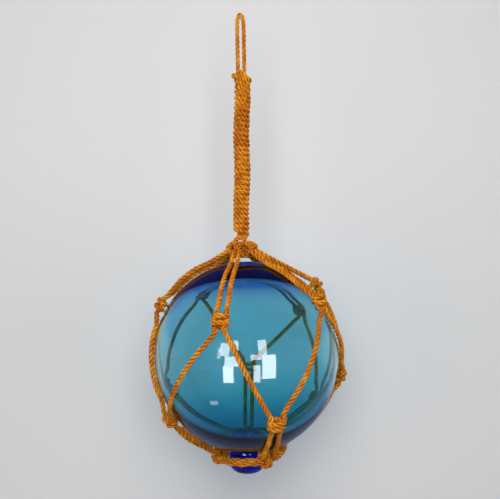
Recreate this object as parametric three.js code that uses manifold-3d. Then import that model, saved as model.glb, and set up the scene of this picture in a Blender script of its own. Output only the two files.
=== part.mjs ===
// Glass float ball: a blown ball with a solid glass seal under it, in a knotted net of six
// doubled cords, which hangs from a wound cord with a loop at its top.
// Millimetres, +Z up. The origin is at the inside top of the hanging loop, where a hook bears.
// Azimuths are in degrees: 0 is the front (-Y), 90 is the right (+X).
import * as THREE from 'three';
import { mergeVertices } from 'three/addons/utils/BufferGeometryUtils.js';
import Module from 'manifold-3d';

const wasm = await Module();
wasm.setup();

// Driving sizes
const CLEARANCE = 0.3; // between pieces that touch
const CORD_LIFT = 0.35; // more room under a cord on the ball, for its straight steps
const BALL_DIAMETER = 127;
const SEAL_DIAMETER = 24.8;
const SEAL_DEPTH = 17.5; // from the foot of the ball to the foot of the seal
const SEAL_ROUNDING = 7;
const SEAL_SHIFT = -0.8; // sideways, off the ball's axis
const NET_CORD = 3.1; // thickness of the net's cords
const KNOT_WIDTH = 12.4;
const KNOT_HEIGHT = 10;
const KNOT_THICKNESS = 7.9;
const KNOT_GROOVE = 1; // depth between the two turns of a knot
const KNOT_SPREAD = 0.8; // how much wider two strands stand where they enter a lower knot
const RING_THICKNESS = 5.8;
const RING_ROOM = 1; // between the seal and the cords round the ring, on the tighter side
const RING_SLACK = 2; // between the ball and the cords round the ring
const RING_SHIFT = 1; // sideways, off the ball's axis
const RING_TILT = -3; // degrees, the left side is lower
const RING_TWIST_LOBES = 3;
const RING_TWIST_TURNS = 6;
const RING_TWIST_RELIEF = 0.35;
const EYE_DIAMETER = 13.4; // of the middle line of the eye that gathers the net
const EYE_CORD = 3.1;
const EYE_HEIGHT = 8; // from the top of the ball up to the eye
const EYE_SHIFT = -0.5;
const NECK_LENGTH = 11.7; // from the eye up to the winding
const NECK_SPACING = 3.2; // between the two strands of the neck
const CORE_DIAMETER = 4.6;
const WINDING_LENGTH = 110.5;
const WINDING_DIAMETER = 11.4;
const WINDING_TURNS = 33;
const WINDING_GROOVE = 0.9; // depth between two turns
const LEAN_START = -1.9; // sideways place of the winding's foot
const LEAN_SPAN = 2.3; // how far it leans over its length
const WAVE_HEIGHT = 0.4;
const WAVE_LENGTH = 55;
const LOOP_CORD = 3;
const LOOP_LENGTH = 38.7; // from the winding up to the inside top of the loop
const LOOP_SPACING = 4.4; // between the middle lines of its two legs
const LOOP_SHIFT = -0.1;
const LOOP_POINT = 8; // height of the pointed top

// Places of the knots, by hand. An upper knot ties one doubled cord. A lower knot ties the
// east strand of one cord to the west strand of the next, and both go down to the ring.
const UPPER_KNOTS = [
  { azimuth: -14, latitude: 25, eye: -20 },
  { azimuth: 57, latitude: 33, eye: 40 },
  { azimuth: 95, latitude: 43, eye: 100 },
  { azimuth: 138, latitude: 23, eye: 160 },
  { azimuth: 220, latitude: 39, eye: 220 },
  { azimuth: 275, latitude: 31, eye: 280 },
];
const LOWER_KNOTS = [
  { azimuth: 18, latitude: -31, ring: 42, splay: 15 },
  { azimuth: 96, latitude: -15, ring: 108, splay: 5 },
  { azimuth: 114, latitude: -34, ring: 131, splay: 6 },
  { azimuth: 179, latitude: -18, ring: 182, splay: 6 },
  { azimuth: 255, latitude: -22, ring: 232, splay: 6 },
  { azimuth: 289, latitude: -37, ring: 272, splay: 6 },
];

// Worked-out sizes
const BALL_RADIUS = BALL_DIAMETER / 2;
const CORD_RADIUS = NET_CORD / 2;
const RING_SECTION = RING_THICKNESS / 2;
const RING_BAND = RING_THICKNESS + 2 * CLEARANCE + 2 * NET_CORD; // across a cord's turn round the ring
const RING_OFFSET = Math.abs(RING_SHIFT - SEAL_SHIFT);
const RING_RADIUS = SEAL_DIAMETER / 2 + RING_OFFSET + RING_ROOM + RING_BAND / 2;
const RING_REACH = BALL_RADIUS + RING_SLACK + RING_BAND / 2; // from the ball's centre
const RING_DEPTH = Math.sqrt(RING_REACH ** 2 - RING_RADIUS ** 2);
const EYE_RADIUS = EYE_DIAMETER / 2;
const EYE_SECTION = EYE_CORD / 2;
const EYE_BAND = EYE_CORD + 2 * CLEARANCE + 2 * NET_CORD; // across a cord's turn round the eye
// The middle line of a cord that lies on the ball is this far from the ball's centre
const ON_GLASS = BALL_RADIUS + CLEARANCE + CORD_LIFT + CORD_RADIUS;
const KNOT_MIDDLE = BALL_RADIUS + CLEARANCE + KNOT_THICKNESS / 2;
const PAIR_OFFSET = CORD_RADIUS + CLEARANCE / 2;
const EYE_Z = BALL_RADIUS + EYE_HEIGHT;
const WINDING_FOOT = EYE_Z + NECK_LENGTH;
const WINDING_TOP = WINDING_FOOT + WINDING_LENGTH;
const BALL_DROP = WINDING_TOP + LOOP_LENGTH; // from the origin down to the ball's centre

const CORD_SIDES = 5;
const LOOP_SIDES = 8;
const KNOT_SIDES = 8;
const STEP_LENGTH = 12; // along a cord
const BAND_STEPS = 7;
const BAND_SIDES = 5;

const glass = new THREE.MeshStandardMaterial({ color: 0x5fa9bd, roughness: 0.05, metalness: 0 });
const cobalt = new THREE.MeshStandardMaterial({ color: 0x12246a, roughness: 0.08, metalness: 0 });
const twine = new THREE.MeshStandardMaterial({ color: 0xb97224, roughness: 0.8, metalness: 0 });
const twineDark = new THREE.MeshStandardMaterial({ color: 0xa8641c, roughness: 0.8, metalness: 0 });

// A closed mesh as a solid that can be joined and cut, and back again
function solidOf(geometry) {
  const bare = geometry.clone();
  bare.deleteAttribute('normal');
  bare.deleteAttribute('uv');
  const merged = mergeVertices(bare, 1e-5);
  return new wasm.Manifold(new wasm.Mesh({
    numProp: 3,
    vertProperties: new Float32Array(merged.attributes.position.array),
    triVerts: new Uint32Array(merged.index.array),
  }));
}

function geometryOf(solid) {
  const mesh = solid.getMesh();
  const geometry = new THREE.BufferGeometry();
  geometry.setAttribute('position', new THREE.BufferAttribute(new Float32Array(mesh.vertProperties), 3));
  geometry.setIndex(new THREE.BufferAttribute(new Uint32Array(mesh.triVerts), 1));
  geometry.computeVertexNormals();
  return geometry;
}

function joined(solids) {
  return solids.reduce((whole, solid) => whole.add(solid));
}

// Directions and points round the ball's centre
function compass(azimuth) {
  const turn = THREE.MathUtils.degToRad(azimuth);
  return new THREE.Vector3(Math.sin(turn), -Math.cos(turn), 0);
}

function direction(azimuth, latitude) {
  const rise = THREE.MathUtils.degToRad(latitude);
  const flat = compass(azimuth).multiplyScalar(Math.cos(rise));
  return flat.setZ(Math.sin(rise));
}

// A taut strand from one point to another, held off the ball where the ball is in its way
function tautPoints(from, to, count) {
  const points = [];
  for (let step = 1; step < count; step += 1) {
    const point = from.clone().lerp(to, step / count);
    if (point.length() < ON_GLASS) point.setLength(ON_GLASS);
    points.push(point);
  }
  return points;
}

// A round cord along a smooth curve, in an even number of steps so that one ends halfway
function cord(points, diameter, sides, stepLength) {
  const curve = new THREE.CatmullRomCurve3(points, false, 'centripetal');
  const outline = [];
  for (let side = 0; side < sides; side += 1) {
    const turn = (side / sides) * Math.PI * 2;
    outline.push(new THREE.Vector2(Math.cos(turn), Math.sin(turn)).multiplyScalar(diameter / 2));
  }
  return new THREE.ExtrudeGeometry(new THREE.Shape(outline), {
    steps: 2 * Math.round(curve.getLength() / stepLength / 2),
    extrudePath: curve,
    bevelEnabled: false,
  });
}

// Turns of cord side by side round a round bar, lying in the XY plane
function band(outerDiameter, diameter, turns) {
  const radius = diameter / 2;
  const geometry = new THREE.TorusGeometry(outerDiameter / 2 - radius, radius, BAND_SIDES, BAND_STEPS);
  return geometry.scale(1, 1, turns);
}

// Puts a shape where the three directions and the middle say
function placed(geometry, xAxis, yAxis, zAxis, middle) {
  const frame = new THREE.Matrix4().makeBasis(xAxis, yAxis, zAxis).setPosition(middle);
  return geometry.applyMatrix4(frame);
}

// The outward, up and across directions of a knot whose up side faces a point
function knotFrame(knot, target) {
  const outward = direction(knot.azimuth, knot.latitude);
  const middle = outward.clone().multiplyScalar(KNOT_MIDDLE);
  const up = target.clone().sub(middle);
  up.addScaledVector(outward, -up.dot(outward)).normalize();
  const across = up.clone().cross(outward);
  return { outward, middle, up, across };
}

function pointAt(frame, up, across) {
  return frame.middle.clone().addScaledVector(frame.up, up).addScaledVector(frame.across, across);
}

// The two turns of cord that bind the strands of a knot, with a groove between them
function knotTurns(frame) {
  const half = KNOT_HEIGHT / 2;
  const full = KNOT_WIDTH / 2;
  const profile = [
    new THREE.Vector2(0, -half),
    new THREE.Vector2(full - CORD_RADIUS, -half),
    new THREE.Vector2(full, -half / 2),
    new THREE.Vector2(full - KNOT_GROOVE, 0),
    new THREE.Vector2(full, half / 2),
    new THREE.Vector2(full - CORD_RADIUS, half),
    new THREE.Vector2(0, half),
  ];
  const turns = new THREE.LatheGeometry(profile, KNOT_SIDES);
  turns.scale(1, 1, KNOT_THICKNESS / KNOT_WIDTH);
  return solidOf(placed(turns, frame.across, frame.up, frame.across.clone().cross(frame.up), frame.middle));
}

// One half of a knot's turns, on the given side of its middle plane
function halfTurns(frame, side) {
  const half = frame.across.clone().multiplyScalar(side);
  return knotTurns(frame).trimByPlane(half.toArray(), frame.middle.dot(half) + CLEARANCE / 2);
}

// The ring under the ball
const ringCentre = new THREE.Vector3(RING_SHIFT, 0, -RING_DEPTH);
const ringTilt = new THREE.Euler(0, THREE.MathUtils.degToRad(RING_TILT), 0);

function ringDirections(azimuth) {
  const outward = compass(azimuth).applyEuler(ringTilt);
  const upward = new THREE.Vector3(0, 0, 1).applyEuler(ringTilt);
  const middle = ringCentre.clone().addScaledVector(outward, RING_RADIUS);
  return { outward, upward, along: outward.clone().cross(upward), middle };
}

function ringGeometry() {
  const geometry = new THREE.TorusGeometry(RING_RADIUS, RING_SECTION, 7, 32);
  const place = geometry.attributes.position;
  for (let corner = 0; corner < place.count; corner += 1) {
    const point = new THREE.Vector3().fromBufferAttribute(place, corner);
    const round = Math.atan2(point.y, point.x);
    const middle = new THREE.Vector3(Math.cos(round), Math.sin(round), 0).multiplyScalar(RING_RADIUS);
    const offset = point.clone().sub(middle);
    const section = Math.atan2(offset.z, Math.hypot(point.x, point.y) - RING_RADIUS);
    const lobe = Math.cos(RING_TWIST_LOBES * section + RING_TWIST_TURNS * round);
    offset.setLength(RING_SECTION - RING_TWIST_RELIEF * (0.5 - 0.5 * lobe));
    place.setXYZ(corner, ...middle.add(offset).toArray());
  }
  return geometry;
}

// The turn of a strand round the ring, and the place where the strand meets it
function ringHitch(azimuth) {
  const { outward, upward, along, middle } = ringDirections(azimuth);
  return solidOf(placed(band(RING_BAND, NET_CORD, 1), outward, upward, along, middle));
}

function ringEntry(azimuth) {
  const { outward, middle } = ringDirections(azimuth);
  return middle.addScaledVector(outward, RING_BAND / 2 - CORD_RADIUS);
}

// The turns of a doubled cord round the eye, squeezed between those of its neighbours
const eyeCentre = new THREE.Vector3(EYE_SHIFT, 0, EYE_Z);

function eyeMiddle(azimuth, side) {
  const outward = compass(azimuth);
  const along = outward.clone().cross(new THREE.Vector3(0, 0, 1));
  return eyeCentre.clone().addScaledVector(outward, EYE_RADIUS).addScaledVector(along, -side * CORD_RADIUS);
}

function eyeHitch(azimuth) {
  const outward = compass(azimuth);
  const upward = new THREE.Vector3(0, 0, 1);
  const along = outward.clone().cross(upward);
  let hitch = solidOf(placed(band(EYE_BAND, NET_CORD, 2), outward, upward, along, eyeMiddle(azimuth, 0)));
  const share = 180 / UPPER_KNOTS.length;
  for (const side of [-1, 1]) {
    const wall = compass(azimuth + side * (share - 90));
    hitch = hitch.trimByPlane(wall.toArray(), eyeCentre.dot(wall) + CLEARANCE / 2);
  }
  return hitch;
}

function eyeEntry(azimuth, side) {
  return eyeMiddle(azimuth, side).addScaledVector(compass(azimuth), EYE_BAND / 2 - CORD_RADIUS);
}

// Frames of all knots
const upperFrames = UPPER_KNOTS.map((knot) => knotFrame(knot, eyeEntry(knot.eye, 0)));
const lowerFrames = LOWER_KNOTS.map((knot) => {
  const frame = knotFrame(knot, ringEntry(knot.ring));
  return { ...frame, up: frame.up.negate(), across: frame.across.negate() };
});

// One strand from the eye through its upper and lower knot to the ring
function strandPoints(number, side) {
  const upper = upperFrames[number];
  const lowerNumber = side > 0 ? number : (number + LOWER_KNOTS.length - 1) % LOWER_KNOTS.length;
  const lower = lowerFrames[lowerNumber];
  const reach = KNOT_HEIGHT / 2;
  const start = eyeEntry(UPPER_KNOTS[number].eye, side);
  const upperIn = pointAt(upper, reach, side * CORD_RADIUS);
  const upperOut = pointAt(upper, -reach, side * CORD_RADIUS);
  const lowerIn = pointAt(lower, reach, -side * (PAIR_OFFSET + KNOT_SPREAD));
  const lowerOut = pointAt(lower, -reach, -side * PAIR_OFFSET);
  const knot = LOWER_KNOTS[lowerNumber];
  const end = ringEntry(knot.ring - side * knot.splay);
  return [
    start, ...tautPoints(start, upperIn, 4), upperIn,
    upperOut, ...tautPoints(upperOut, lowerIn, 7), lowerIn,
    lowerOut, ...tautPoints(lowerOut, end, 4), end,
  ];
}

// The strands of the neck, from the foot of the winding out to the eye
function neckStrand(side, diameter) {
  const foot = LEAN_START;
  const eye = compass(70).multiplyScalar(side * EYE_RADIUS).add(eyeCentre);
  const top = new THREE.Vector3(foot + side * NECK_SPACING / 2, 0, WINDING_FOOT - CLEARANCE);
  const lower = top.clone().setZ(WINDING_FOOT - NECK_LENGTH * 0.35);
  const bend = lower.clone().lerp(eye, 0.5).setZ(EYE_Z + EYE_BAND / 2);
  return cord([top, lower, bend, eye], diameter, CORD_SIDES, 3);
}

function netCord(number) {
  const { eye } = UPPER_KNOTS[number];
  const before = (number + LOWER_KNOTS.length - 1) % LOWER_KNOTS.length;
  const parts = [eyeHitch(eye), knotTurns(upperFrames[number])];
  for (const side of [-1, 1]) {
    const lower = side > 0 ? number : before;
    const knot = LOWER_KNOTS[lower];
    parts.push(solidOf(cord(strandPoints(number, side), NET_CORD, CORD_SIDES, STEP_LENGTH)));
    parts.push(halfTurns(lowerFrames[lower], -side));
    parts.push(ringHitch(knot.ring - side * knot.splay));
  }
  let solid = joined(parts);
  for (const side of [-1, 1]) {
    solid = solid.subtract(solidOf(neckStrand(side, EYE_CORD + 2 * CLEARANCE)));
  }
  return geometryOf(solid);
}

// The winding leans and waves a little sideways
function sway(z) {
  const along = z - WINDING_FOOT;
  const wave = WAVE_HEIGHT * Math.sin((along / WAVE_LENGTH) * Math.PI * 2);
  return LEAN_START + (LEAN_SPAN * along) / WINDING_LENGTH - wave;
}

function swayed(geometry) {
  const place = geometry.attributes.position;
  for (let corner = 0; corner < place.count; corner += 1) {
    place.setX(corner, place.getX(corner) + sway(place.getZ(corner)));
  }
  return geometry;
}

function turned(profile, sides) {
  return new THREE.LatheGeometry(profile, sides).rotateX(Math.PI / 2);
}

function windingGeometry() {
  const outer = WINDING_DIAMETER / 2;
  const bore = CORE_DIAMETER / 2 + CLEARANCE;
  const pitch = WINDING_LENGTH / WINDING_TURNS;
  const profile = [new THREE.Vector2(bore, WINDING_FOOT)];
  for (let turn = 0; turn < WINDING_TURNS; turn += 1) {
    const foot = WINDING_FOOT + turn * pitch;
    profile.push(new THREE.Vector2(outer - WINDING_GROOVE, foot));
    profile.push(new THREE.Vector2(outer, foot + pitch / 2));
  }
  profile.push(new THREE.Vector2(outer - WINDING_GROOVE, WINDING_TOP));
  profile.push(new THREE.Vector2(bore, WINDING_TOP));
  for (let turn = WINDING_TURNS - 6; turn > 0; turn -= 6) {
    profile.push(new THREE.Vector2(bore, WINDING_FOOT + turn * pitch));
  }
  profile.push(profile[0].clone());
  return swayed(turned(profile, 8));
}

function coreGeometry() {
  const foot = WINDING_FOOT - NECK_LENGTH * 0.3;
  const radius = CORE_DIAMETER / 2;
  const steps = 12;
  const profile = [new THREE.Vector2(0, foot)];
  for (let step = 0; step <= steps; step += 1) {
    profile.push(new THREE.Vector2(radius, foot + ((WINDING_TOP - foot) * step) / steps));
  }
  profile.push(new THREE.Vector2(0, WINDING_TOP));
  const core = solidOf(swayed(turned(profile, 8)));
  const eye = new THREE.TorusGeometry(EYE_RADIUS, EYE_SECTION, CORD_SIDES, 18);
  eye.translate(eyeCentre.x, eyeCentre.y, eyeCentre.z);
  const strands = [-1, 1].map((side) => solidOf(neckStrand(side, EYE_CORD)));
  return geometryOf(joined([core, solidOf(eye), ...strands]));
}

// The loop goes up on the left, over a pointed top and down on the right
function loopGeometry() {
  const foot = WINDING_TOP + CLEARANCE;
  const peak = WINDING_TOP + LOOP_LENGTH + LOOP_CORD / 2;
  const half = LOOP_SPACING / 2;
  const shoulder = peak - LOOP_POINT;
  const leg = [
    [half, foot],
    [half, foot + (shoulder - foot) / 3],
    [half, foot + ((shoulder - foot) * 2) / 3],
    [half, shoulder],
    [half * 0.86, shoulder + LOOP_POINT * 0.5],
    [half * 0.5, shoulder + LOOP_POINT * 0.86],
  ];
  const points = leg.map(([x, z]) => new THREE.Vector3(LOOP_SHIFT - x, 0, z));
  points.push(new THREE.Vector3(LOOP_SHIFT, 0, peak));
  points.push(...leg.reverse().map(([x, z]) => new THREE.Vector3(LOOP_SHIFT + x, 0, z)));
  return cord(points, LOOP_CORD, LOOP_SIDES, LOOP_CORD);
}

function sealGeometry() {
  const seat = BALL_RADIUS + CLEARANCE;
  const radius = SEAL_DIAMETER / 2;
  const foot = -BALL_RADIUS - SEAL_DEPTH;
  const edge = Math.asin(radius / seat);
  const profile = [];
  for (let step = 0; step < 4; step += 1) {
    const turn = edge * (step / 4);
    profile.push(new THREE.Vector2(seat * Math.sin(turn), -seat * Math.cos(turn)));
  }
  profile.push(new THREE.Vector2(radius, -seat * Math.cos(edge)));
  for (let step = 0; step <= 4; step += 1) {
    const turn = (step / 4) * (Math.PI / 2);
    profile.push(new THREE.Vector2(
      radius - SEAL_ROUNDING * (1 - Math.cos(turn)),
      foot + SEAL_ROUNDING * (1 - Math.sin(turn)),
    ));
  }
  profile.push(new THREE.Vector2(0, foot));
  return turned(profile.reverse(), 16);
}

function piece(name, geometry, material) {
  const mesh = new THREE.Mesh(geometry, material);
  mesh.name = name;
  return mesh;
}

const float = new THREE.Group();
float.position.z = -BALL_DROP;

const ball = piece('glass_ball', new THREE.SphereGeometry(BALL_RADIUS, 32, 16), glass);
ball.rotation.x = Math.PI / 2;
float.add(ball);

const seal = piece('seal_button', sealGeometry(), cobalt);
seal.rotation.y = -SEAL_SHIFT / (BALL_RADIUS + SEAL_DEPTH / 2);
float.add(seal);

const ring = piece('bottom_ring', ringGeometry(), twineDark);
ring.position.copy(ringCentre);
ring.rotation.copy(ringTilt);
float.add(ring);

UPPER_KNOTS.forEach((knot, number) => {
  float.add(piece(`net_cord_${number + 1}`, netCord(number), twine));
});

const hanger = new THREE.Group();
hanger.add(piece('hanger_core', coreGeometry(), twineDark));
hanger.add(piece('hanger_winding', windingGeometry(), twine));
hanger.add(piece('hanging_loop', loopGeometry(), twine));
float.add(hanger);

const part = new THREE.Group();
part.add(float);

export default part;
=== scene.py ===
# Glass float ball in a knotted net, hung by a wound cord with a loop at its top
import math
import random
import bmesh
import bpy
from mathutils import Matrix, Vector


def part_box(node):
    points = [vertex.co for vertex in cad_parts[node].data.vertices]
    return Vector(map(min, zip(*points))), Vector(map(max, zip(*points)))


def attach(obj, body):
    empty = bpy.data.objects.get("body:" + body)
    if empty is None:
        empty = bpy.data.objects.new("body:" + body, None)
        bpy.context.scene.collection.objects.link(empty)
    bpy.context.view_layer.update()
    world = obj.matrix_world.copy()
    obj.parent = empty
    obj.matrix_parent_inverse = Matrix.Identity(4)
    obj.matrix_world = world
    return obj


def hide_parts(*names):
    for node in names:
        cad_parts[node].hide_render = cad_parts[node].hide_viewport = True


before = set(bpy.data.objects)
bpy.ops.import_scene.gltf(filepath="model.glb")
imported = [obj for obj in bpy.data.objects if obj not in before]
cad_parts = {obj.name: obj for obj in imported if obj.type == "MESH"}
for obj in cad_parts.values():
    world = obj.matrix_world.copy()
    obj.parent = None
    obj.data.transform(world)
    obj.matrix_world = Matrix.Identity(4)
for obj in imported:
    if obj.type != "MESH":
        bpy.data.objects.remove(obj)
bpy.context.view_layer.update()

chance = random.Random(7)

# Sizes in metres, from the frame
MM = 0.001
ball_low, ball_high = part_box("glass_ball")
BALL_RADIUS = (ball_high[2] - ball_low[2]) / 2
BALL = Vector((0, 0, (ball_high[2] + ball_low[2]) / 2))
winding_low, winding_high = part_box("hanger_winding")
WINDING_FOOT = winding_low[2] - BALL.z
WINDING_TOP = winding_high[2] - BALL.z
seal_low, seal_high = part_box("seal_button")
SEAL_FOOT = seal_low[2] - BALL.z
SEAL_RADIUS = (seal_high[1] - seal_low[1]) / 2
SEAL_SIDE = (seal_high[0] + seal_low[0]) / 2
LOOP_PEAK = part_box("hanging_loop")[1][2] - BALL.z
ring_low, ring_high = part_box("bottom_ring")

# Sizes of the glass
SIDE_WALL = 2.0 * MM
TOP_LENS = {"depth": 7.5 * MM, "power": 7, "axis": Vector((0.0, 0.16, 1)).normalized()}
FOOT_LENS = {"depth": 1.0 * MM, "power": 6, "axis": Vector((-0.2, -0.12, -1)).normalized()}
FOOT_SWELL = 3.0 * MM  # how far the ball bulges down towards its seal
LOWER_HALF = Vector((0.05, -0.1, -1)).normalized()  # where the glass is deeper in colour
SEAL_ROUNDING = 7 * MM
SEAL_CENTRE = 1.1  # its distance from the ball's middle, in radii of the ball
BALL_SEGMENTS = 128
BALL_RINGS = 80
SEAL_SEGMENTS = 64

# Sizes of the twine
CORD = 3.4 * MM
CORD_RADIUS = CORD / 2
LAY = 10 * MM  # one full turn of a strand
STRANDS = 3
STRAND_REACH = 0.268  # in thicknesses of the rope, from its middle line to that of a strand
STRAND_RADIUS = 0.238  # in thicknesses of the rope
ROPE_STEP = 0.8 * MM
FIBRE_RADIUS = 0.07 * MM
FIBRE_LENGTH = 2.4 * MM
NET_FIBRES = 26
WINDING_FIBRES = 70
CONTACT = 0.05 * MM
PAIR_GAP = 1.5 * MM  # from the middle of a pair to the line of one strand
ON_GLASS = BALL_RADIUS + CONTACT + CORD_RADIUS
KNOT_THICKNESS = 7.9 * MM
KNOT_MIDDLE = BALL_RADIUS + 0.3 * MM + KNOT_THICKNESS / 2
WINDING_PITCH = 3.35 * MM
WINDING_CORD = 3.7 * MM
WINDING_LINE = (winding_high[1] - winding_low[1]) / 2 - WINDING_CORD * 0.47
LEAN_START = -1.9 * MM
LEAN_SPAN = 2.3 * MM
WAVE_HEIGHT = 0.4 * MM
WAVE_LENGTH = 55 * MM
FIRST_TILTS = (2.3, 2.7, 2.4, 1.9, 1.3, 0.8)  # of the topmost turns, in millimetres
LAST_TILTS = (0.8, 1.5)
WINDING_TUCK = 3.2 * MM  # how far its ends dive in
CORE_OFFSET = 1.1 * MM
CORE_TUCK = 2 * MM
CORE_STEP = 1.2 * MM
NECK_WRAP_TOP = 2.4 * MM
NECK_WRAP_RADIUS = 2.7 * MM
NECK_WRAP_PITCH = 0.9 * MM
LOOP_CORD = 3.0 * MM
LOOP_SPACING = 4.4 * MM
LOOP_SHIFT = -0.1 * MM
LOOP_POINT = 8 * MM
LOOP_TUCK = 3.5 * MM  # hidden in the winding

# The eye that gathers the net and the ring under the ball
EYE_RADIUS = 4.2 * MM
EYE = Vector((-1.7 * MM, 0, BALL_RADIUS + 8 * MM))
EYE_TURN = 4.0 * MM  # from the eye's middle line to that of a cord round it
RING = Vector(((ring_low[0] + ring_high[0]) / 2, 0, (ring_low[2] + ring_high[2]) / 2 - BALL.z))
RING_RADIUS = (ring_high[1] - ring_low[1]) / 2 - 2.9 * MM
RING_TILT = Matrix.Rotation(math.radians(-3), 3, "Y")
RING_LINE = 1.35 * MM  # of one rope from the ring's middle line
RING_TURN = 4.15 * MM
RING_TWISTS = 5
RING_STEPS = 72
HITCH_START = 35  # degrees round the ring's middle line
HITCH_END = 500
HITCH_STEP = 31
HITCH_DRIFT = 0.025  # degrees along the ring for each degree round it
HITCH_TUCK = 0.9 * MM

# Places of the knots as in the frame: azimuth and latitude, and where the pair goes on
UPPER_KNOTS = [
    {"azimuth": -14, "latitude": 25, "eye": -20},
    {"azimuth": 57, "latitude": 33, "eye": 40},
    {"azimuth": 95, "latitude": 43, "eye": 100},
    {"azimuth": 138, "latitude": 23, "eye": 160},
    {"azimuth": 220, "latitude": 39, "eye": 220},
    {"azimuth": 275, "latitude": 31, "eye": 280, "stacked": 75},
]
LOWER_KNOTS = [
    {"azimuth": 18, "latitude": -31, "ring": 30, "splay": 10},
    {"azimuth": 96, "latitude": -15, "ring": 108, "splay": 5},
    {"azimuth": 114, "latitude": -34, "ring": 131, "splay": 6},
    {"azimuth": 179, "latitude": -18, "ring": 182, "splay": 6},
    {"azimuth": 255, "latitude": -22, "ring": 232, "splay": 6},
    {"azimuth": 289, "latitude": -37, "ring": 273, "splay": 2.5, "stacked": 80},
]
CORDS = len(UPPER_KNOTS)

# In a knot, in millimetres: the height of each strand's turn, and where it comes in and goes out
TURN_LEVELS = {1: 2.3, -1: -1.9}
UPPER_WAYS = (3.2, 2.5)
LOWER_WAYS = (4.0, 2.7)

# Colours of the twine: pale, middle and dark
TWINE_COLOURS = ((0.71, 0.3, 0.018), (0.55, 0.175, 0.005), (0.27, 0.055, 0.001))
LOOP_COLOURS = ((0.72, 0.32, 0.03), (0.56, 0.19, 0.008), (0.29, 0.065, 0.002))
# Painted shade, multiplied into the side of each strand that lies in the groove
GROOVE_SHADE_COLOUR = (0.42, 0.3, 0.25)
FIBRES_ALONG = 90  # streaks for each metre of strand
FIBRES_ROUND = 9

# Colours of the glass: of its surface, its body and its shadow
AQUA = {"tint": (0.52, 0.92, 0.94), "body": (0.04, 0.14, 0.75), "density": 42, "shade": (0.7, 0.88, 0.92)}
COBALT = {"tint": (0.06, 0.17, 0.9), "body": (0.02, 0.06, 0.8), "density": 140, "shade": (0.2, 0.3, 0.8)}

# Where the aqua glass is deeper: axis, degrees from it where that starts to fade and ends, colour
AQUA_LENSES = (
    (LOWER_HALF, 30, 82, (0.07, 0.78, 0.8)),
    (TOP_LENS["axis"], 14, 34, (0.06, 0.62, 0.82)),
    (FOOT_LENS["axis"], 16, 34, (0.03, 0.62, 0.72)),
)
LENS_WAVE = 0.03  # how uneven their edges are


# Camera, placed by the outline of the ball and its knots in the photograph
CAMERA_DISTANCE = 460.4 * MM
CAMERA_RISE = 71.7 * MM
CAMERA_SIDE = 3.7 * MM
CAMERA_ROLL = math.radians(1.06)
CAMERA_LENS = 48.02
SENSOR_WIDTH = 36
FRAME_WIDTH = 500
FRAME_HEIGHT = 499


def make_camera():
    data = bpy.data.cameras.new("camera")
    data.lens = CAMERA_LENS
    data.sensor_width = SENSOR_WIDTH
    data.clip_start = 0.01
    camera = bpy.data.objects.new("camera", data)
    camera.location = BALL + Vector((CAMERA_SIDE, -CAMERA_DISTANCE, CAMERA_RISE))
    camera.rotation_euler = (math.radians(90), CAMERA_ROLL, 0)
    bpy.context.scene.collection.objects.link(camera)
    bpy.context.scene.camera = camera
    return camera


# Directions round the ball; azimuth 0 is the front and 90 the right
def compass(azimuth):
    turn = math.radians(azimuth)
    return Vector((math.sin(turn), -math.cos(turn), 0))


def direction(azimuth, latitude):
    rise = math.radians(latitude)
    flat = compass(azimuth) * math.cos(rise)
    return Vector((flat.x, flat.y, math.sin(rise)))


# Routes of the cords
def bulge(outward):
    """How far the ball stands out of a true sphere in a direction."""
    return FOOT_SWELL * max(0.0, -outward.z) ** 3


def taut_points(start, end, count):
    points = []
    for step in range(1, count):
        point = start.lerp(end, step / count)
        lowest = ON_GLASS + bulge(point.normalized())
        if point.length < lowest:
            point = point.normalized() * lowest
        points.append(point)
    return points


def pair_points(start, end, count, side, stacked):
    """As taut_points, for one of two strands that lie over each other on the way."""
    points = []
    across = (end - start).cross(start).normalized()
    for step in range(1, count):
        part = step / count
        point = start.lerp(end, part)
        outward = point.normalized()
        turn = stacked * math.sin(math.pi * part) ** 0.5
        push = side * PAIR_GAP * math.sin(turn)
        slide = side * PAIR_GAP * (1 - math.cos(turn))
        point = point + across * slide
        lowest = ON_GLASS + bulge(outward) + PAIR_GAP * abs(math.sin(turn))
        if point.length < lowest:
            point = point.normalized() * lowest
        points.append(point + outward * push)
    return points


def smooth_route(points, step=ROPE_STEP):
    """A smooth line through the points, with even steps."""
    parts = 12
    padded = [points[0] * 2 - points[1], *points, points[-1] * 2 - points[-2]]
    fine = [points[0].copy()]
    for a, b, c, d in zip(padded, padded[1:], padded[2:], padded[3:]):
        knots = [0.0]
        for p, q in ((a, b), (b, c), (c, d)):
            knots.append(knots[-1] + max((q - p).length, 1e-7) ** 0.5)
        for part in range(1, parts + 1):
            t = knots[1] + (knots[2] - knots[1]) * part / parts
            ab = (a * (knots[1] - t) + b * t) / knots[1]
            bc = (b * (knots[2] - t) + c * (t - knots[1])) / (knots[2] - knots[1])
            cd = (c * (knots[3] - t) + d * (t - knots[2])) / (knots[3] - knots[2])
            abc = (ab * (knots[2] - t) + bc * t) / knots[2]
            bcd = (bc * (knots[3] - t) + cd * (t - knots[1])) / (knots[3] - knots[1])
            fine.append((abc * (knots[2] - t) + bcd * (t - knots[1])) / (knots[2] - knots[1]))
    return even_route(fine, step)


def even_route(fine, step):
    lengths = [0.0]
    for p, q in zip(fine, fine[1:]):
        lengths.append(lengths[-1] + (q - p).length)
    count = max(2, round(lengths[-1] / step))
    route = []
    place = 0
    for number in range(count + 1):
        target = lengths[-1] * number / count
        while place < len(fine) - 2 and lengths[place + 1] < target:
            place += 1
        span = max(lengths[place + 1] - lengths[place], 1e-9)
        route.append(fine[place].lerp(fine[place + 1], (target - lengths[place]) / span))
    return route


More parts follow.
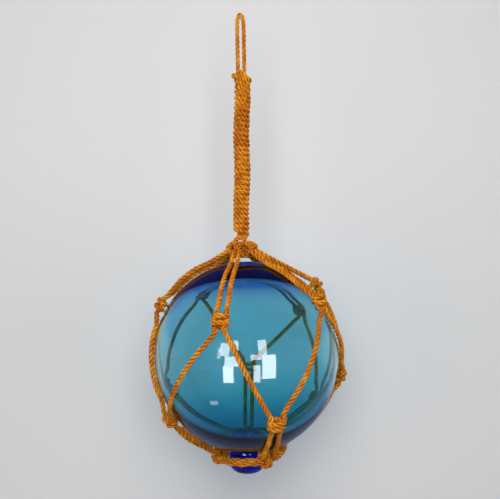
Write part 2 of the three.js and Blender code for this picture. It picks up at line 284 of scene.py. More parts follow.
def laid_strands(route, diameter, lay, phase, reach):
    """The middle lines of the strands that are laid round a route."""
    lines = [[] for _ in range(STRANDS)]
    tangent = (route[1] - route[0]).normalized()
    side = tangent.orthogonal().normalized()
    gone = 0.0
    for number, point in enumerate(route):
        ahead = route[min(number + 1, len(route) - 1)]
        behind = route[max(number - 1, 0)]
        turned = (ahead - behind).normalized()
        side = (tangent.rotation_difference(turned) @ side).normalized()
        tangent = turned
        other = tangent.cross(side)
        if number:
            gone += (point - route[number - 1]).length
        for strand in range(STRANDS):
            angle = phase + math.tau * (gone / lay + strand / STRANDS)
            offset = side * math.cos(angle) + other * math.sin(angle)
            lines[strand].append(point + offset * diameter * reach)
    return lines


def add_tube(bm, line, radius, axis=None, sides=6):
    """A closed tube along a line. U is the length in metres, V the way round from the axis side."""
    layer = bm.loops.layers.uv.verify()
    tangent = (line[1] - line[0]).normalized()
    side = tangent.orthogonal().normalized()
    rings = []
    lengths = [0.0]
    for number, point in enumerate(line):
        ahead = line[min(number + 1, len(line) - 1)]
        behind = line[max(number - 1, 0)]
        turned = (ahead - behind).normalized()
        if axis is None:
            side = (tangent.rotation_difference(turned) @ side).normalized()
        else:
            inward = axis[number] - point
            side = (inward - turned * inward.dot(turned)).normalized()
        tangent = turned
        other = tangent.cross(side)
        if number:
            lengths.append(lengths[-1] + (point - line[number - 1]).length)
        ring = []
        for corner in range(sides):
            angle = math.tau * corner / sides
            ring.append(bm.verts.new(
                BALL + point + (side * math.cos(angle) + other * math.sin(angle)) * radius
            ))
        rings.append(ring)
    for number in range(len(rings) - 1):
        for corner in range(sides):
            after = (corner + 1) % sides
            face = bm.faces.new((
                rings[number][corner], rings[number][after],
                rings[number + 1][after], rings[number + 1][corner],
            ))
            left = corner / sides
            right = (corner + 1) / sides
            places = (
                (lengths[number], left), (lengths[number], right),
                (lengths[number + 1], right), (lengths[number + 1], left),
            )
            for loop, place in zip(face.loops, places):
                loop[layer].uv = place
    for ring, at, turned_over in ((rings[0], lengths[0], True), (rings[-1], lengths[-1], False)):
        face = bm.faces.new(list(reversed(ring)) if turned_over else ring)
        for loop in face.loops:
            loop[layer].uv = (at, 0.3)


def add_rope(bm, route, diameter, lay=LAY, phase=None, reach=STRAND_REACH, strand=STRAND_RADIUS):
    """A laid rope along a route. Without a phase, its strands start at a random turn."""
    start = chance.uniform(0, math.tau) if phase is None else phase
    for line in laid_strands(route, diameter, lay, start, reach):
        add_tube(bm, line, diameter * strand, axis=route)


def add_fibres(bm, route, diameter, count):
    """Loose ends of fibre that stand off a rope."""
    for _ in range(count):
        number = chance.randrange(1, len(route) - 2)
        start = route[number]
        along = (route[number + 1] - route[number - 1]).normalized()
        out = along.cross(Vector([chance.uniform(-1, 1) for _ in range(3)])).normalized()
        if start.length < ON_GLASS + 0.5 * MM:
            out = (out + start.normalized() * 0.9).normalized()
        reach = chance.uniform(0.35, 1) * FIBRE_LENGTH
        lean = along * chance.uniform(-0.9, 0.9)
        line = [
            start + out * diameter * 0.42,
            start + out * (diameter * 0.5 + reach * 0.4) + lean * reach * 0.3,
            start + out * (diameter * 0.5 + reach * 0.75) + lean * reach * 0.9,
        ]
        add_tube(bm, smooth_route(line, reach / 4), FIBRE_RADIUS, sides=3)


def new_object(name, bm, material):
    mesh = bpy.data.meshes.new(name)
    bm.to_mesh(mesh)
    bm.free()
    mesh.polygons.foreach_set("use_smooth", [True] * len(mesh.polygons))
    mesh.materials.append(material)
    made = bpy.data.objects.new(name, mesh)
    bpy.context.scene.collection.objects.link(made)
    return made


def finished(name, bm, material):
    piece = new_object(name, bm, material)
    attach(piece, "root")
    return piece


def new_bmesh():
    bm = bmesh.new()
    bm.loops.layers.uv.new("UVMap")
    return bm


# Node helpers for materials
def new_material(name):
    material = bpy.data.materials.new(name)
    material.use_nodes = True
    nodes = material.node_tree.nodes
    nodes.clear()
    output = nodes.new("ShaderNodeOutputMaterial")
    shader = nodes.new("ShaderNodeBsdfPrincipled")
    material.node_tree.links.new(shader.outputs["BSDF"], output.inputs["Surface"])
    return material, material.node_tree, shader, output


def add_node(tree, kind, **values):
    node = tree.nodes.new(kind)
    for key, value in values.items():
        if key in node.inputs:
            node.inputs[key].default_value = value
        else:
            setattr(node, key, value)
    return node


def feed(tree, entry, value):
    """Links an entry to a socket, or sets it to a plain value."""
    if isinstance(value, bpy.types.NodeSocket):
        tree.links.new(value, entry)
    else:
        entry.default_value = value


def calculate(tree, operation, *values):
    node = add_node(tree, "ShaderNodeMath", operation=operation)
    for entry, value in zip(node.inputs, values):
        feed(tree, entry, value)
    return node.outputs[0]


def part_between(tree, value, low, high, easing="LINEAR"):
    """How far a value has come from low to high, as 0 to 1."""
    node = add_node(tree, "ShaderNodeMapRange", interpolation_type=easing)
    node.inputs["From Min"].default_value = low
    node.inputs["From Max"].default_value = high
    tree.links.new(value, node.inputs["Value"])
    return node.outputs["Result"]


def mix_colours(tree, share, first, second, blend_type="MIX"):
    node = add_node(tree, "ShaderNodeMix", data_type="RGBA", blend_type=blend_type)
    tree.links.new(share, node.inputs["Factor"])
    feed(tree, node.inputs[6], first)
    feed(tree, node.inputs[7], second)
    return node.outputs[2]


def clear_where(tree, seen, shader, output, shade):
    """Lets light straight through, in a shade, where a socket says 1."""
    clear = tree.nodes.new("ShaderNodeBsdfTransparent")
    clear.inputs["Color"].default_value = (*shade, 1)
    choice = tree.nodes.new("ShaderNodeMixShader")
    tree.links.new(seen, choice.inputs[0])
    tree.links.new(shader.outputs["BSDF"], choice.inputs[1])
    tree.links.new(clear.outputs[0], choice.inputs[2])
    tree.links.new(choice.outputs[0], output.inputs["Surface"])


def make_fibre_group():
    """Streaks that run along a strand, blotches of dye, painted shade in the grooves between strands, and
    the height of the fibres.
    """
    group = bpy.data.node_groups.new("twine_fibres", "ShaderNodeTree")
    face = group.interface
    face.new_socket("Vector", in_out="INPUT", socket_type="NodeSocketVector")
    for name in ("Pale", "Middle", "Dark"):
        face.new_socket(name, in_out="INPUT", socket_type="NodeSocketColor")
    face.new_socket("Color", in_out="OUTPUT", socket_type="NodeSocketColor")
    face.new_socket("Height", in_out="OUTPUT", socket_type="NodeSocketFloat")
    face.new_socket("Roughness", in_out="OUTPUT", socket_type="NodeSocketFloat")
    source = group.nodes.new("NodeGroupInput")
    result = group.nodes.new("NodeGroupOutput")
    link = group.links.new

    split = group.nodes.new("ShaderNodeSeparateXYZ")
    link(source.outputs["Vector"], split.inputs[0])
    joined = group.nodes.new("ShaderNodeCombineXYZ")
    link(calculate(group, "MULTIPLY", split.outputs["X"], FIBRES_ALONG), joined.inputs["X"])
    link(calculate(group, "MULTIPLY", split.outputs["Y"], FIBRES_ROUND), joined.inputs["Y"])
    streaks = add_node(group, "ShaderNodeTexNoise", Scale=1.0, Detail=4.0, Roughness=0.65)
    link(joined.outputs[0], streaks.inputs["Vector"])
    place = group.nodes.new("ShaderNodeTexCoord")
    blotches = add_node(group, "ShaderNodeTexNoise", Scale=140.0, Detail=3.0, Roughness=0.6)
    link(place.outputs["Object"], blotches.inputs["Vector"])

    streaked = part_between(group, streaks.outputs["Fac"], 0.36, 0.62)
    dyed = mix_colours(group, streaked, source.outputs["Dark"], source.outputs["Middle"])
    faded = part_between(group, blotches.outputs["Fac"], 0.45, 0.75)
    patched = mix_colours(group, faded, dyed, source.outputs["Pale"])

    # Painted shade: the side of a strand that faces the rope's middle, where it lies in the groove
    # between strands, is darkened
    turned = calculate(group, "MULTIPLY", split.outputs["Y"], math.tau)
    facing = calculate(group, "COSINE", turned)
    groove_shade = part_between(group, facing, -0.55, 0.35, "SMOOTHSTEP")
    shaded = mix_colours(group, groove_shade, patched, (*GROOVE_SHADE_COLOUR, 1), "MULTIPLY")
    link(shaded, result.inputs["Color"])
    link(streaks.outputs["Fac"], result.inputs["Height"])

    rough = add_node(group, "ShaderNodeMapRange")
    rough.inputs["To Min"].default_value = 0.55
    rough.inputs["To Max"].default_value = 0.85
    link(blotches.outputs["Fac"], rough.inputs["Value"])
    link(rough.outputs["Result"], result.inputs["Roughness"])
    return group


def make_twine(name, fibres, pale, middle, dark):
    material, tree, shader, _ = new_material(name)
    group = tree.nodes.new("ShaderNodeGroup")
    group.node_tree = fibres
    group.inputs["Pale"].default_value = (*pale, 1)
    group.inputs["Middle"].default_value = (*middle, 1)
    group.inputs["Dark"].default_value = (*dark, 1)
    coordinates = tree.nodes.new("ShaderNodeTexCoord")
    tree.links.new(coordinates.outputs["UV"], group.inputs["Vector"])
    tree.links.new(group.outputs["Color"], shader.inputs["Base Color"])
    tree.links.new(group.outputs["Roughness"], shader.inputs["Roughness"])
    bump = add_node(tree, "ShaderNodeBump", Strength=0.6, Distance=0.00025)
    tree.links.new(group.outputs["Height"], bump.inputs["Height"])
    tree.links.new(bump.outputs["Normal"], shader.inputs["Normal"])
    shader.inputs["Specular IOR Level"].default_value = 0.08
    return material


def lens_colour(tree, tint, lenses):
    """The tint of the glass, deeper within each lens."""
    place = tree.nodes.new("ShaderNodeTexCoord")
    centred = add_node(tree, "ShaderNodeVectorMath", operation="SUBTRACT")
    centred.inputs[1].default_value = BALL
    tree.links.new(place.outputs["Object"], centred.inputs[0])
    outward = add_node(tree, "ShaderNodeVectorMath", operation="NORMALIZE")
    tree.links.new(centred.outputs[0], outward.inputs[0])
    wave = add_node(tree, "ShaderNodeTexNoise", Scale=22.0, Detail=2.0)
    tree.links.new(place.outputs["Object"], wave.inputs["Vector"])
    colour = (*tint, 1)
    for axis, near, far, deep in lenses:
        along = add_node(tree, "ShaderNodeVectorMath", operation="DOT_PRODUCT")
        along.inputs[1].default_value = axis
        tree.links.new(outward.outputs[0], along.inputs[0])
        shifted = calculate(tree, "MULTIPLY_ADD", wave.outputs["Fac"], LENS_WAVE, along.outputs["Value"])
        low = math.cos(math.radians(far)) + LENS_WAVE / 2
        high = math.cos(math.radians(near)) + LENS_WAVE / 2
        mask = part_between(tree, shifted, low, high, "SMOOTHSTEP")
        colour = mix_colours(tree, mask, colour, (*deep, 1))
    return colour


def make_glass(name, tint, body, density, shade, lenses=()):
    """Clear glass. Lamps shine through it in its own colour, and its thick lenses are darker."""
    material, tree, shader, output = new_material(name)
    colour = lens_colour(tree, tint, lenses) if lenses else (*tint, 1)
    feed(tree, shader.inputs["Base Color"], colour)
    shader.inputs["Roughness"].default_value = 0.0
    shader.inputs["Transmission Weight"].default_value = 1.0
    shader.inputs["IOR"].default_value = 1.5
    path = tree.nodes.new("ShaderNodeLightPath")
    clear_where(tree, path.outputs["Is Shadow Ray"], shader, output, shade)
    volume = add_node(tree, "ShaderNodeVolumeAbsorption", Density=density)
    volume.inputs["Color"].default_value = (*body, 1)
    tree.links.new(volume.outputs[0], output.inputs["Volume"])
    return material


# The blown ball: a shell whose wall swells to a lens of solid glass at both poles
def wall_at(outward):
    """Thickness of the wall in a direction from the middle of the ball."""
    wall = SIDE_WALL
    for lens in (TOP_LENS, FOOT_LENS):
        wall += lens["depth"] * max(0.0, outward.dot(lens["axis"])) ** lens["power"]
    return wall


def make_ball(material):
    bm = bmesh.new()
    bmesh.ops.create_uvsphere(bm, u_segments=BALL_SEGMENTS, v_segments=BALL_RINGS, radius=BALL_RADIUS)
    for corner in bm.verts:
        outward = corner.co.normalized()
        corner.co = outward * (BALL_RADIUS + bulge(outward))
    made = bmesh.ops.create_uvsphere(
        bm, u_segments=BALL_SEGMENTS, v_segments=BALL_RINGS, radius=BALL_RADIUS,
    )
    inner = made["verts"]
    for corner in inner:
        outward = corner.co.normalized()
        corner.co = outward * (BALL_RADIUS - wall_at(outward))
    faces = {face for corner in inner for face in corner.link_faces}
    bmesh.ops.reverse_faces(bm, faces=list(faces))
    bmesh.ops.translate(bm, verts=bm.verts, vec=BALL)
    ball = finished("float_glass", bm, material)
    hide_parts("glass_ball")


def make_seal(material):
    """The cobalt lump, spun from its outline: a dished top on the ball and a rounded foot."""
    bm = bmesh.new()
    seat = BALL_RADIUS + CONTACT
    edge = math.asin(SEAL_RADIUS / seat)
    outline = []
    for step in range(9):
        outward = Vector((math.sin(edge * step / 8), 0, -math.cos(edge * step / 8)))
        outline.append(outward * (seat + bulge(outward)))
    brim = outline[-1].z
    for step in range(1, 4):
        outline.append(Vector((SEAL_RADIUS, 0, brim + (SEAL_FOOT + SEAL_ROUNDING - brim) * step / 4)))
    for step in range(9):
        turn = math.pi / 2 * step / 8
        outline.append(Vector((
            SEAL_RADIUS - SEAL_ROUNDING * (1 - math.cos(turn)), 0,
            SEAL_FOOT + SEAL_ROUNDING * (1 - math.sin(turn)),
        )))
    outline.append(Vector((0, 0, SEAL_FOOT)))
    corners = [bm.verts.new(point) for point in outline]
    edges = [bm.edges.new(pair) for pair in zip(corners, corners[1:])]
    bmesh.ops.spin(
        bm, geom=corners + edges, axis=(0, 0, 1), cent=(0, 0, 0),
        steps=SEAL_SEGMENTS, angle=math.tau, use_merge=True,
    )
    bmesh.ops.remove_doubles(bm, verts=bm.verts, dist=1e-6)
    bmesh.ops.recalc_face_normals(bm, faces=bm.faces)
    lean = math.asin(-SEAL_SIDE / (BALL_RADIUS * SEAL_CENTRE))
    bmesh.ops.rotate(bm, verts=bm.verts, cent=(0, 0, 0), matrix=Matrix.Rotation(lean, 3, "Y"))
    bmesh.ops.translate(bm, verts=bm.verts, vec=BALL)
    seal = finished("seal_glass", bm, material)
    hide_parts("seal_button")


# Knots
def knot_frame(knot, target, flip):
    outward = direction(knot["azimuth"], knot["latitude"])
    middle = outward * KNOT_MIDDLE
    up = target - middle
    up = (up - outward * up.dot(outward)).normalized()
    if flip:
        up = -up
    return {"outward": outward, "middle": middle, "up": up, "across": up.cross(outward)}


def at_knot(knot, across, up, out):
    """A point of a knot, in millimetres from its middle."""
    return knot["middle"] + (knot["across"] * across + knot["up"] * up + knot["outward"] * out) * MM


def knot_turn(knot, side, level, slant, way_in, way_out):
    """The route of one strand down into the knot, once round both strands, and out below."""
    route = [(way_in, 5.6, -0.1), (way_in * 0.6 + 1.9, level + 2.9, 0.6)]
    for degrees in range(20, 341, 40):
        turn = math.radians(degrees)
        across = 4.7 * math.cos(turn)
        drop = level + 0.9 - 1.8 * degrees / 360
        route.append((across, drop + slant * across / 4.7, 2.7 * math.sin(turn) + 0.1))
    route += [(3.4, level - 1.9, -0.5), (way_out, min(level - 3.2, -3.8), -0.2), (way_out, -5.6, -0.1)]
    return [at_knot(knot, side * across, up, out) for across, up, out in route]


# The eye and the ring
def eye_frame(azimuth):
    outward = compass(azimuth)
    return EYE + outward * EYE_RADIUS, outward, Vector((0, 0, 1)), outward.cross(Vector((0, 0, 1)))


def eye_hitch(azimuth, side):
    """From the bar of the hitch over the eye, round it, and out under the bar."""
    middle, outward, up, along = eye_frame(azimuth)
    route = [(6, 5.4, 0.0), (22, 5.6, 0.9), (48, 5.2, 1.8), (84, 4.6, 2.1)]
    route += [(130, 4.2, 2.1), (180, 4.0, 2.3), (235, 4.1, 2.3), (300, 4.3, 2.0), (352, 5.2, 1.8)]
    points = []
    for degrees, reach, offset in route:
        turn = math.radians(degrees)
        ray = outward * math.cos(turn) + up * math.sin(turn)
        points.append(middle + ray * reach * MM - along * side * offset * MM)
    return points


def ring_frame(azimuth):
    outward = RING_TILT @ compass(azimuth)
    up = RING_TILT @ Vector((0, 0, 1))
    return RING + outward * RING_RADIUS, outward, up, outward.cross(up)


def ring_hitch(azimuth, side):
    """A strand comes from outside and spirals round the ring until it is tucked under."""
    points = []
    for degrees in range(HITCH_START, HITCH_END, HITCH_STEP):
        middle, outward, up, _ = ring_frame(azimuth + side * (degrees - HITCH_START) * HITCH_DRIFT)
        turn = math.radians(degrees)
        ray = outward * math.cos(turn) + up * math.sin(turn)
        tuck = HITCH_TUCK * max(0, degrees - 430) / 70
        points.append(middle + ray * (RING_TURN - tuck))
    return points


def eye_target(azimuth):
    return eye_frame(azimuth)[0] + compass(azimuth) * EYE_TURN


def ring_target(azimuth):
    middle, outward, _, _ = ring_frame(azimuth)
    return middle + outward * RING_TURN


upper_knots = [knot_frame(knot, eye_target(knot["eye"]), False) for knot in UPPER_KNOTS]
lower_knots = [knot_frame(knot, ring_target(knot["ring"]), True) for knot in LOWER_KNOTS]
knot_slants = [chance.uniform(-0.5, 0.9) for _ in range(2 * CORDS)]


def net_strand(number, side):
    """One strand from its hitch on the eye, through an upper and a lower knot, to the ring."""
    lower_number = number if side > 0 else (number - 1) % CORDS
    upper = UPPER_KNOTS[number]
    lower = LOWER_KNOTS[lower_number]
    hitch = eye_hitch(upper["eye"], side)
    level = TURN_LEVELS[side]
    upper_turn = knot_turn(upper_knots[number], side, level, knot_slants[number], *UPPER_WAYS)
    lower_turn = knot_turn(
        lower_knots[lower_number], -side, -level + 0.3, knot_slants[lower_number + CORDS], *LOWER_WAYS,
    )
    ring_turn = ring_hitch(lower["ring"] - side * lower["splay"], side)
    stacked_above = math.radians(upper.get("stacked", 0))
    stacked_below = math.radians(lower.get("stacked", 0))
    route = list(hitch)
    route += pair_points(hitch[-1], upper_turn[0], 7, side, stacked_above)
    route += upper_turn
    route += taut_points(upper_turn[-1], lower_turn[0], 9)
    route += lower_turn
    route += pair_points(lower_turn[-1], ring_turn[0], 9, side, stacked_below)
    route += ring_turn
    return smooth_route(route)


def make_net_cord(number, material):
    bm = new_bmesh()
    for side in (-1, 1):
        route = net_strand(number, side)
        add_rope(bm, route, CORD)
        add_fibres(bm, route, CORD, NET_FIBRES)
    cord = finished(f"net_rope_{number + 1}", bm, material)
    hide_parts(f"net_cord_{number + 1}")


def make_ring(material):
    """Three ropes laid up with one another round the ring."""
    bm = new_bmesh()
    for rope in range(3):
        points = []
        for step in range(RING_STEPS + 1):
            middle, outward, up, _ = ring_frame(360 * step / RING_STEPS)
            turn = math.tau * (rope / 3 + RING_TWISTS * step / RING_STEPS)
            points.append(middle + (outward * math.cos(turn) + up * math.sin(turn)) * RING_LINE)
        add_rope(bm, smooth_route(points), CORD * 0.96)
    ring = finished("bottom_ring_rope", bm, material)
    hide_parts("bottom_ring")


# The hanger
def sway(z):
    along = z - WINDING_FOOT
    span = WINDING_TOP - WINDING_FOOT
    wave = WAVE_HEIGHT * math.sin(math.tau * along / WAVE_LENGTH)
    return LEAN_START + LEAN_SPAN * along / span - wave


def make_core(material):
    """Two doubled strands inside the winding, which come out as the neck and form the eye."""
    bm = new_bmesh()
    foot = WINDING_FOOT
    for depth in (-1, 1):
        points = []
        for step in range(12, 0, -1):
            z = foot + (WINDING_TOP - foot - CORE_TUCK) * step / 12
            points.append(Vector((sway(z) - CORE_OFFSET, depth * CORE_OFFSET, z)))
        points.append(Vector((sway(foot) - 1.7 * MM, depth * 1.3 * MM, foot)))
        points.append(Vector((sway(foot) - 2.0 * MM, depth * 1.6 * MM, foot - 3 * MM)))
        points.append(Vector((sway(foot) - 4.8 * MM, depth * 2.2 * MM, foot - 5.6 * MM)))
        for step in range(7):
            azimuth = 262 + depth * (8 + 24 * step)
            points.append(EYE + compass(azimuth) * EYE_RADIUS + Vector((0, 0, depth * 0.8 * MM)))
        points.append(Vector((0.8 * MM, depth * 3.8 * MM, foot - 7 * MM)))
        points.append(Vector((sway(foot) + 1.5 * MM, depth * 2.6 * MM, foot - 3 * MM)))
        points.append(Vector((sway(foot) + 1.5 * MM, depth * 1.3 * MM, foot)))
        for step in range(1, 13):
            z = foot + (WINDING_TOP - foot - CORE_TUCK) * step / 12
            points.append(Vector((sway(z) + CORE_OFFSET, depth * CORE_OFFSET, z)))
        add_rope(bm, smooth_route(points, CORE_STEP), CORD)

    # A strand one and a half times round the neck, which dives in at both ends
    wrap = []
    for step in range(27):
        turn = math.tau * (step / 18 - 0.1)
        reach = NECK_WRAP_RADIUS * (1 - 0.4 * abs(step / 13 - 1) ** 6)
        wrap.append(Vector((
            sway(foot) + 0.2 * MM + reach * math.sin(turn), -reach * 0.95 * math.cos(turn),
            foot - NECK_WRAP_TOP - NECK_WRAP_PITCH * step / 18,
        )))
    add_rope(bm, smooth_route(wrap), CORD * 0.9)
    core = finished("hanger_rope", bm, material)
    core.visible_glossy = False
    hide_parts("hanger_core")


def make_winding(material):
    """One rope wound down the core, with steep first turns and a loose last one."""
    bm = new_bmesh()
    first = WINDING_TOP - 2.1 * MM
    last = WINDING_FOOT - 0.6 * MM
    count = (first - last) / WINDING_PITCH
    tilts = [*FIRST_TILTS, *[chance.uniform(0.15, 0.5) for _ in range(38)]]
    swells = [chance.uniform(-0.16, 0.16) * MM for _ in range(50)]
    tilts[int(count)], tilts[int(count) + 1] = LAST_TILTS
    points = []
    for step in range(-3, round(count * 16) + 1):
        turns = step / 16
        whole = max(int(turns), 0)
        part = max(turns - whole, 0)
        turn = math.tau * turns
        tilt = (tilts[whole] * (1 - part) + tilts[whole + 1] * part) * MM
        swell = swells[whole] * (1 - part) + swells[whole + 1] * part
        z = first - WINDING_PITCH * turns - tilt * math.sin(turn)
        tuck = WINDING_TUCK * math.exp(-((turns + 0.2) / 0.1) ** 2)
        tuck += WINDING_TUCK * math.exp(-((turns - count) / 0.12) ** 2)
        bump = 1.9 * MM * math.exp(-((turns - 0.76) / 0.15) ** 2)
        bump += 0.8 * MM * math.exp(-((turns - 0.25) / 0.12) ** 2)
        reach = WINDING_LINE + swell + bump - tuck
        points.append(Vector((sway(z) + reach * math.sin(turn), -reach * math.cos(turn), z)))
    route = smooth_route(points)
    add_rope(bm, route, WINDING_CORD, lay=8.6 * MM)
    add_fibres(bm, route, WINDING_CORD, WINDING_FIBRES)
    winding = finished("hanger_winding_rope", bm, material)
    winding.visible_glossy = False
    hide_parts("hanger_winding")


def loop_points():
    foot = WINDING_TOP - LOOP_TUCK
    peak = LOOP_PEAK - LOOP_CORD / 2
    half = LOOP_SPACING / 2
    shoulder = peak - LOOP_POINT
    leg = [
        (half, foot),
        (half, foot + (shoulder - foot) / 3),
        (half, foot + (shoulder - foot) * 2 / 3),
        (half, shoulder),
        (half * 0.86, shoulder + LOOP_POINT * 0.5),
        (half * 0.5, shoulder + LOOP_POINT * 0.86),
    ]
    points = [Vector((LOOP_SHIFT - x, 0, z)) for x, z in leg]
    points.append(Vector((LOOP_SHIFT, 0, peak)))
    points += [Vector((LOOP_SHIFT + x, 0, z)) for x, z in reversed(leg)]
    return points


def make_loop(material):
    bm = new_bmesh()
    route = smooth_route(loop_points())
    add_rope(bm, route, LOOP_CORD, phase=0.4, reach=0.265, strand=0.25)
    loop = finished("hanging_loop_rope", bm, material)
    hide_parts("hanging_loop")


# Studio
WALL_GAP = 77 * MM  # from the middle of the ball to the wall behind it
FLOOR_DROP = 1.0  # from the loop down to the floor
BACKDROP_HALF = 3.0
BACKDROP_TOP = 2.5
BACKDROP_BEND = 0.1
LIGHT_DISTANCE = 0.85  # from the glass to a pane
# Bright panes that the ball mirrors, as the photograph shows them: left, top, right, bottom, strength
PANES = (
    (220.5, 343, 229.5, 356, 0.8),
    (217.5, 348, 221, 359, 0.5),
    (233.5, 340.5, 238.5, 356.5, 0.8),
    (224.5, 356.5, 239, 366.5, 0.9),
    (223.3, 366.5, 233.5, 382.5, 1.2),
    (258, 340, 266.5, 354.5, 0.8),
    (250.5, 354.5, 262, 360, 0.8),
    (262, 354.5, 275.5, 378.5, 1.1),
    (253.5, 365.5, 260.5, 382, 0.9),
    (210, 400, 218, 403, 0.35),
)
PANE_LIGHT = 15.0
PANE_COLOUR = (1, 0.99, 0.97)

# Soft lights: name, place, what they face, width, height and power
SOFT_LIGHTS = (
    ("soft_top", (0.1, -1.0, 1.3), (0, 0, -0.1), 1.6, 1.2, 12.2),
    ("soft_left", (-1.3, -0.8, -0.4), BALL, 1.0, 1.4, 9.8),
    ("soft_right", (1.3, -0.8, -0.4), BALL, 1.0, 1.4, 8.6),
    ("soft_front", (0, -0.55, 0.0), BALL, 0.4, 0.4, 3.6),
    ("soft_back", (-0.5, 1.6, 0.6), BALL, 1.4, 1.4, 28.0),
)
ROOM_COLOUR = (0.93, 0.94, 0.96)
ROOM_LIGHT = 0.13  # what the room lights the float with
ROOM_SEEN = 0.45  # how bright it looks to the camera, also through the glass
WALL_COLOUR = (0.5, 0.498, 0.5)

# Heights over which the wall turns dark to glossy rays alone, a painted dark reflection in the glass, and
# its colours
MIRRORED_ABOVE = (BALL.z + 0.02, BALL.z + 0.09, (0.025, 0.04, 0.32))
MIRRORED_BELOW = (BALL.z - 0.03, BALL.z - 0.1, (0.2, 0.23, 0.36))


def wall_material(name, colour):
    """Matt paint that can be looked through from behind, and that glossy rays see dark above and below
    the ball: a painted dark reflection in the glass.
    """
    material, tree, shader, output = new_material(name)
    noise = add_node(tree, "ShaderNodeTexNoise", Scale=3.0, Detail=2.0)
    place = tree.nodes.new("ShaderNodeTexCoord")
    tree.links.new(place.outputs["Object"], noise.inputs["Vector"])
    darker = (*[c * 0.97 for c in colour], 1)
    lighter = (*[min(1, c * 1.02) for c in colour], 1)
    painted = mix_colours(tree, noise.outputs["Fac"], darker, lighter)
    height = tree.nodes.new("ShaderNodeSeparateXYZ")
    tree.links.new(place.outputs["Object"], height.inputs[0])
    path = tree.nodes.new("ShaderNodeLightPath")
    # Painted reflection: the dark colour is mixed in for glossy rays only, so the glass mirrors a dark
    # wall above and below it
    for low, high, painted_reflection in (MIRRORED_ABOVE, MIRRORED_BELOW):
        part = part_between(tree, height.outputs["Z"], low, high, "SMOOTHSTEP")
        seen = calculate(tree, "MULTIPLY", part, path.outputs["Is Glossy Ray"])
        painted = mix_colours(tree, seen, painted, (*painted_reflection, 1))
    tree.links.new(painted, shader.inputs["Base Color"])
    shader.inputs["Roughness"].default_value = 0.9
    shader.inputs["Specular IOR Level"].default_value = 0.1
    side = tree.nodes.new("ShaderNodeNewGeometry")
    clear_where(tree, side.outputs["Backfacing"], shader, output, (1, 1, 1))
    return material


def make_stage():
    bm = bmesh.new()
    bend = BACKDROP_BEND
    left = -BACKDROP_HALF
    profile = [Vector((left, left, -FLOOR_DROP)), Vector((left, WALL_GAP - bend, -FLOOR_DROP))]
    for step in range(1, 8):
        turn = math.pi / 2 * step / 8
        profile.append(Vector((
            left, WALL_GAP - bend + bend * math.sin(turn), -FLOOR_DROP + bend - bend * math.cos(turn),
        )))
    profile += [Vector((left, WALL_GAP, -FLOOR_DROP + bend)), Vector((left, WALL_GAP, BACKDROP_TOP))]
    corners = [bm.verts.new(point) for point in profile]
    edges = [bm.edges.new(pair) for pair in zip(corners, corners[1:])]
    made = bmesh.ops.extrude_edge_only(bm, edges=edges)["geom"]
    moved = [part for part in made if isinstance(part, bmesh.types.BMVert)]
    bmesh.ops.translate(bm, verts=moved, vec=(2 * BACKDROP_HALF, 0, 0))
    bm.normal_update()
    bm.faces.ensure_lookup_table()
    if bm.faces[0].normal.z < 0:
        bmesh.ops.reverse_faces(bm, faces=bm.faces)
    backdrop = new_object("backdrop", bm, wall_material("pale_wall", WALL_COLOUR))


def add_light(name, place, target, width, height, power, colour=(1, 1, 1), mirrored=False):
    data = bpy.data.lights.new(name, "AREA")
    data.shape = "RECTANGLE"
    data.size = width
    data.size_y = height
    data.energy = power
    data.color = colour
    light = bpy.data.objects.new(name, data)
    light.location = place
    light.rotation_euler = (Vector(target) - Vector(place)).to_track_quat("-Z", "Y").to_euler()
    light.visible_camera = False
    light.visible_glossy = mirrored
    light.visible_transmission = False
    light.visible_diffuse = not mirrored
    bpy.context.scene.collection.objects.link(light)


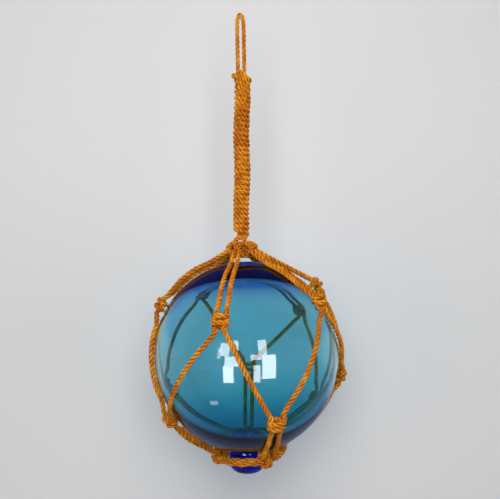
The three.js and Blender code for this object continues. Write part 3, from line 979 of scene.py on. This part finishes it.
def mirrored_place(camera, across, down):
    """Where the ball mirrors to the camera from, for a pixel of the 500 by 499 photograph."""
    turn = camera.rotation_euler.to_matrix()
    zoom = CAMERA_LENS / SENSOR_WIDTH * FRAME_WIDTH
    ray = Vector(((across - FRAME_WIDTH / 2) / zoom, (FRAME_HEIGHT / 2 - down) / zoom, -1))
    ray = (turn @ ray).normalized()
    start = camera.location - BALL
    middle = -start.dot(ray)
    near = middle - math.sqrt(middle ** 2 - start.length_squared + BALL_RADIUS ** 2)
    hit = start + ray * near
    normal = hit.normalized()
    return BALL + hit + (ray - normal * 2 * ray.dot(normal)) * LIGHT_DISTANCE


def make_lights(camera):
    for number, (left, top, right, bottom, strength) in enumerate(PANES):
        edges = ((left, top), (right, top), (right, bottom), (left, bottom))
        corners = [mirrored_place(camera, across, down) for across, down in edges]
        place = sum(corners, Vector()) / 4
        width = ((corners[0] - corners[1]).length + (corners[2] - corners[3]).length) / 2
        height = ((corners[0] - corners[3]).length + (corners[1] - corners[2]).length) / 2
        power = PANE_LIGHT * strength * width * height * math.pi
        add_light(f"pane_{number + 1}", place, BALL, width, height, power, PANE_COLOUR, mirrored=True)
    for light in SOFT_LIGHTS:
        add_light(*light)


def make_room():
    world = bpy.data.worlds.new("room")
    world.use_nodes = True
    tree = world.node_tree
    background = tree.nodes["Background"]
    background.inputs["Color"].default_value = (*ROOM_COLOUR, 1)
    path = tree.nodes.new("ShaderNodeLightPath")
    seen = calculate(tree, "MAXIMUM", path.outputs["Is Camera Ray"], path.outputs["Is Transmission Ray"])
    strength = add_node(tree, "ShaderNodeMapRange")
    strength.inputs["To Min"].default_value = ROOM_LIGHT
    strength.inputs["To Max"].default_value = ROOM_SEEN
    tree.links.new(seen, strength.inputs["Value"])
    tree.links.new(strength.outputs["Result"], background.inputs["Strength"])
    bpy.context.scene.world = world
    bpy.context.scene.view_settings.view_transform = "Standard"


camera = make_camera()
fibres = make_fibre_group()
twine = make_twine("laid_twine", fibres, *TWINE_COLOURS)
loop_twine = make_twine("loop_twine", fibres, *LOOP_COLOURS)
make_loop(loop_twine)
make_core(loop_twine)
make_winding(twine)
make_ring(twine)
for cord_number in range(CORDS):
    make_net_cord(cord_number, twine)
make_ball(make_glass("aqua_glass", **AQUA, lenses=AQUA_LENSES))
make_seal(make_glass("cobalt_glass", **COBALT))
make_stage()
make_lights(camera)
make_room()
